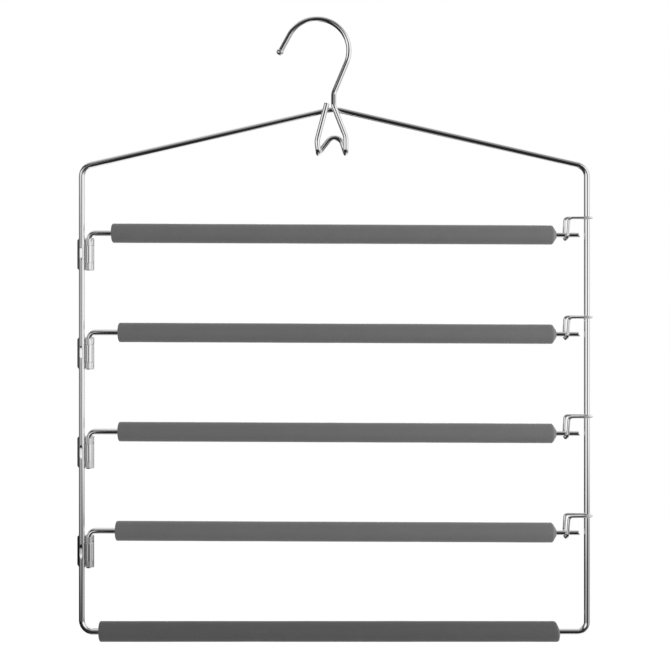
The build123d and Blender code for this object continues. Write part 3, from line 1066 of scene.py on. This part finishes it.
def chrome_material(name, colour, drawn, seed, relief=0.006 * MM):
    """Plated metal: faint drawing lines along a wire, a soft orange peel, hairline wear, and
    painted shade where a piece carries the shade mark.
    """
    # How far painted shade darkens the colour of a marked flange
    painted_flange_shade = 0.72
    mottling = 0.02
    polish = 0.035
    wear = 0.04
    worn_patches = (0.42, 0.75)
    line_wear = 0.03
    worn_lines = (0.55, 0.8)
    line_relief = 0.12
    material, tree = new_material(name)
    if drawn:
        place = add_node(tree, "ShaderNodeAttribute", attribute_name="straight_wire")
        place = place.outputs["Vector"]
        line_scale = (90.0, 5200.0, 5200.0)
    else:
        place = add_node(tree, "ShaderNodeTexCoord").outputs["Object"]
        line_scale = (2600.0, 2600.0, 150.0)
    line_place = add_node(tree, "ShaderNodeMapping", {"Vector": place, "Scale": line_scale})
    lines = noise(tree, line_place, scale=1.0, detail=4.0, roughness=0.6, seed=seed)
    peel = noise(tree, place, scale=650.0, detail=2.0, seed=seed + 1.0)
    patches = noise(tree, place, scale=60.0, detail=4.0, roughness=0.6, seed=seed + 2.0)
    # Painted shade: where the shade mark is set, the colour is darkened in place of a dark
    # reflection
    painted_shade_mark = add_node(tree, "ShaderNodeAttribute", attribute_name="shade").outputs["Fac"]
    light = math_node(tree, "MULTIPLY_ADD", painted_shade_mark, -painted_flange_shade, 1.0)
    rough = math_node(tree, "MULTIPLY_ADD", ramp(tree, patches, *worn_patches), wear, polish)
    rough = math_node(tree, "ADD", rough, ramp(tree, lines, *worn_lines, 0.0, line_wear))
    height = math_node(tree, "MULTIPLY_ADD", peel, 1.0,
                       math_node(tree, "MULTIPLY", lines, line_relief))
    bump = add_node(tree, "ShaderNodeBump",
                    {"Strength": 0.35, "Distance": relief, "Height": height})
    shader = add_node(tree, "ShaderNodeBsdfPrincipled", {
        "Base Color": scaled(tree, mottled(tree, patches, colour, mottling), light),
        "Metallic": 1.0, "Roughness": rough, "Normal": bump})
    add_node(tree, "ShaderNodeOutputMaterial", {"Surface": shader})
    return material


def foam_material(name, colour, seed):
    """Closed-cell foam: a fine pebbled skin with small open cells, and painted rim light that
    lightens its edges.
    """
    cell_scale = 2600.0
    pore_scale = 900.0
    painted_rim_light = 1.1
    mottling = 0.16
    cloud_share = 0.55
    grain_share = 0.45
    cell_depth = 0.5
    pit_depth = 0.6
    pit_walls = (0.12, 0.4)
    least_roughness = 0.72
    grain_roughness = 0.2
    material, tree = new_material(name)
    place = add_node(tree, "ShaderNodeTexCoord").outputs["Object"]
    cells, pores = [add_node(tree, "ShaderNodeTexVoronoi",
                             {"Vector": place, "Scale": scale, "Randomness": 1.0}, feature="F1")
                    for scale in (cell_scale, pore_scale)]
    grain = noise(tree, place, scale=1500.0, detail=5.0, roughness=0.65, seed=seed)
    clouds = noise(tree, place, scale=70.0, detail=5.0, roughness=0.6, seed=seed + 1.0)
    tone = math_node(tree, "ADD", math_node(tree, "MULTIPLY", clouds, cloud_share),
                     math_node(tree, "MULTIPLY", grain, grain_share))
    # Painted rim light: the colour grows lighter towards the edges, where the sleeve turns away
    facing = add_node(tree, "ShaderNodeLayerWeight", {"Blend": 0.5}).outputs["Facing"]
    rim = math_node(tree, "MULTIPLY_ADD", math_node(tree, "MULTIPLY", facing, facing),
                    painted_rim_light, 1.0)
    height = math_node(tree, "ADD", math_node(tree, "MULTIPLY", cells, cell_depth),
                       math_node(tree, "MULTIPLY", ramp(tree, pores, *pit_walls), pit_depth))
    height = math_node(tree, "ADD", height, grain)
    bump = add_node(tree, "ShaderNodeBump",
                    {"Strength": 0.45, "Distance": 0.08 * MM, "Height": height})
    shader = add_node(tree, "ShaderNodeBsdfPrincipled", {
        "Base Color": scaled(tree, mottled(tree, tone, colour, mottling), rim),
        "Roughness": math_node(tree, "MULTIPLY_ADD", grain, grain_roughness, least_roughness),
        "Specular IOR Level": 0.3, "Sheen Weight": 0.75, "Sheen Roughness": 0.22,
        "Normal": bump})
    add_node(tree, "ShaderNodeOutputMaterial", {"Surface": shader})
    return material


# Stage

class HANGER_OT_stage(bpy.types.Operator):
    """Set the floor, the lamps, the surroundings and the camera"""
    bl_idname = "hanger.stage"
    bl_label = "Stage"

    def execute(self, context):
        scene = context.scene
        scene.view_settings.view_transform = "Standard"
        make_floor()
        make_surroundings(scene)
        make_lamp("key_lamp", place=(-0.5, -1.1, 0.9), size=1.2, power=5.0)
        make_lamp("right_lamp", place=(0.6, -0.35, -0.12), size=0.3, power=3.0)
        make_card("front_card", start=(-0.347, -0.236), end=(-0.457, -0.103), top=-0.03,
                  upper=0.88, lower=0.60, soft=0.08)
        make_card("left_card", start=(-0.457, -0.103), end=(-0.75, 0.55), top=0.35,
                  upper=0.80, lower=0.995, soft=0.04)
        make_camera(scene)
        return {"FINISHED"}


def make_sheet(name, corners, material):
    """A flat sheet between four corners."""
    mesh = bpy.data.meshes.new(name)
    mesh.from_pydata(corners, [], [(0, 1, 2, 3)])
    mesh.materials.append(material)
    return linked(name, mesh)


def make_floor():
    """A wide pale floor under the object's shadow: all but white in the picture, never mirrored."""
    size = 6.0
    glow_share = 0.9
    pale = (0.9, 0.9, 0.9, 1.0)
    height = CAD_BOX[0][2] - settings().stage.floor_gap
    material, tree = new_material("pale_floor")
    seen = add_node(tree, "ShaderNodeLightPath").outputs["Is Camera Ray"]
    share = math_node(tree, "MULTIPLY", seen, glow_share)
    matte = add_node(tree, "ShaderNodeBsdfDiffuse", {"Color": pale})
    bright = add_node(tree, "ShaderNodeEmission", {"Strength": 1.03})
    mix = add_node(tree, "ShaderNodeMixShader", {0: share, 1: matte, 2: bright})
    add_node(tree, "ShaderNodeOutputMaterial", {"Surface": mix})
    floor = make_sheet("floor", [(-size, -size, height), (size, -size, height),
                                 (size, size, height), (-size, size, height)], material)
    floor.visible_glossy = False


def patch(tree, azimuth, elevation, across, up, darkness, soft):
    """Darkness over a part of the surroundings, given in degrees from straight ahead."""
    share = darkness
    for value, (low, high) in ((azimuth, across), (elevation, up)):
        rise = ramp(tree, value, math.radians(low - soft), math.radians(low + soft))
        fall = ramp(tree, value, math.radians(high - soft), math.radians(high + soft), 1.0, 0.0)
        share = math_node(tree, "MULTIPLY", math_node(tree, "MULTIPLY", rise, fall), share)
    return share


def make_surroundings(scene):
    """A white studio, whose darker camera side, ceiling and floor show only in mirrors."""
    white = (1.0, 1.0, 1.0, 1.0)
    mirrored_light = 0.94
    other_light = 0.86
    picture_light = 1.0
    scene.world = bpy.data.worlds.new("studio")
    tree = empty_tree(scene.world)
    way = add_node(tree, "ShaderNodeTexCoord").outputs["Generated"]
    parts = add_node(tree, "ShaderNodeSeparateXYZ", {0: way}).outputs
    ahead = math_node(tree, "MULTIPLY", parts["Y"], -1.0)
    azimuth = math_node(tree, "ARCTAN2", parts["X"], ahead)
    elevation = math_node(tree, "ARCSINE", parts["Z"])
    light = 1.0
    for across, up, darkness, soft in MIRRORED_PATCHES:
        dark = patch(tree, azimuth, elevation, across, up, darkness, soft)
        light = math_node(tree, "MULTIPLY", light, math_node(tree, "SUBTRACT", 1.0, dark))
    mirrored, lighting, behind = [
        add_node(tree, "ShaderNodeBackground", {"Color": shade, "Strength": strength})
        for shade, strength in ((light, mirrored_light), (white, other_light),
                                (white, picture_light))]
    rays = add_node(tree, "ShaderNodeLightPath").outputs
    inner = add_node(tree, "ShaderNodeMixShader",
                     {0: rays["Is Glossy Ray"], 1: lighting, 2: mirrored})
    outer = add_node(tree, "ShaderNodeMixShader", {0: rays["Is Camera Ray"], 1: inner, 2: behind})
    add_node(tree, "ShaderNodeOutputWorld", {"Surface": outer})


def make_lamp(name, place, size, power):
    """A soft square lamp that looks at the middle of the hanger."""
    lamp = bpy.data.lights.new(name, "AREA")
    lamp.shape = "SQUARE"
    lamp.size = size
    lamp.energy = power
    holder = linked(name, lamp)
    holder.visible_glossy = False
    centre = (Vector(CAD_BOX[0]) + Vector(CAD_BOX[1])) / 2
    place = Vector(place)
    holder.matrix_world = (Matrix.Translation(place)
                           @ (centre - place).to_track_quat("-Z", "Y").to_matrix().to_4x4())


def make_card(name, start, end, top, upper, lower, soft):
    """An upright card that only mirrors see, with one darkness above and another below."""
    foot = -1.3
    card = make_sheet(name, [(*start, foot), (*end, foot), (*end, top), (*start, top)],
                      card_finish(name, top, upper, lower, soft))
    across = card.data.attributes.new("across", "FLOAT", "POINT")
    for mark, value in zip(across.data, (0.0, 1.0, 1.0, 0.0)):
        mark.value = value
    card.visible_camera = False
    card.visible_diffuse = False
    card.visible_transmission = False
    card.visible_shadow = False


def card_finish(name, top, upper, lower, soft):
    """Black that thins out to nothing at the card's sides and top."""
    lower_top = -0.55
    upper_foot = -0.33
    top_fade = 0.15
    material, tree = new_material(name)
    place = add_node(tree, "ShaderNodeTexCoord").outputs["Object"]
    height = add_node(tree, "ShaderNodeSeparateXYZ", {0: place}).outputs["Z"]
    share = add_node(tree, "ShaderNodeAttribute", attribute_name="across").outputs["Fac"]
    darkness = ramp(tree, height, lower_top, upper_foot, lower, upper)
    for fade in (ramp(tree, share, 0.0, soft), ramp(tree, share, 1.0 - soft, 1.0, 1.0, 0.0),
                 ramp(tree, height, top - top_fade, top, 1.0, 0.0)):
        darkness = math_node(tree, "MULTIPLY", darkness, fade)
    clear = add_node(tree, "ShaderNodeBsdfTransparent")
    black = add_node(tree, "ShaderNodeEmission", {"Strength": 0.0})
    mix = add_node(tree, "ShaderNodeMixShader", {0: darkness, 1: clear, 2: black})
    add_node(tree, "ShaderNodeOutputMaterial", {"Surface": mix})
    return material


def make_camera(scene):
    """The photograph's camera: level, and higher than the middle of the hanger."""
    s = settings().stage
    data = bpy.data.cameras.new("camera")
    data.lens = data.sensor_width * s.camera_distance / s.picture_width
    data.shift_y = (s.camera_drop - s.picture_drop) / s.picture_width
    camera = linked("camera", data)
    camera.location = (s.camera_right, -s.camera_distance, -s.camera_drop)
    camera.rotation_euler = (math.pi / 2, 0.0, 0.0)
    scene.camera = camera


class HANGER_PT_panel(bpy.types.Panel):
    """Lists the pieces of the hanger"""
    bl_idname = "HANGER_PT_panel"
    bl_label = "Trouser Hanger"
    bl_space_type = "VIEW_3D"
    bl_region_type = "UI"
    bl_category = "Hanger"

    def draw(self, context):
        for operator in OPERATORS:
            self.layout.operator(operator.bl_idname)


OPERATORS = (HANGER_OT_stage, HANGER_OT_frame, HANGER_OT_hook, HANGER_OT_arms, HANGER_OT_foam,
             HANGER_OT_brackets, HANGER_OT_catches, HANGER_OT_welds)
GROUPS = (WireSizes, FrameSizes, HookSizes, ArmSizes, FoamSizes, BracketSizes, CatchSizes,
          Finish, StageSizes, HangerSettings)
CLASSES = GROUPS + OPERATORS + (HANGER_PT_panel,)
trees = {}
finishes = {}


def register():
    for item in CLASSES:
        bpy.utils.register_class(item)
    bpy.types.Scene.trouser_hanger = PointerProperty(type=HangerSettings)


def unregister():
    del bpy.types.Scene.trouser_hanger
    for item in reversed(CLASSES):
        bpy.utils.unregister_class(item)


def make_trees():
    trees.update(wire=wire_tree(), turned=turned_tree(), bead=bead_tree())


def make_finishes():
    plate_relief = 0.003 * MM
    colours = settings().finish
    finishes.update(
        chrome=chrome_material("chromed_wire", tuple(colours.chrome), True, 1.0),
        chrome_cap=chrome_material("chromed_cap", tuple(colours.chrome), False, 4.0),
        plate=chrome_material("chromed_plate", tuple(colours.plate), False, 7.0, plate_relief),
        foam=foam_material("grey_foam", tuple(colours.foam), 2.0),
        bottom_foam=foam_material("dark_grey_foam", tuple(colours.bottom_foam), 5.0))


def main():
    register()
    make_trees()
    make_finishes()
    bpy.ops.hanger.stage()
    bpy.ops.hanger.frame()
    bpy.ops.hanger.hook()
    bpy.ops.hanger.arms()
    bpy.ops.hanger.foam()
    bpy.ops.hanger.brackets()
    bpy.ops.hanger.catches()
    bpy.ops.hanger.welds()


if __name__ == "__main__":
    main()
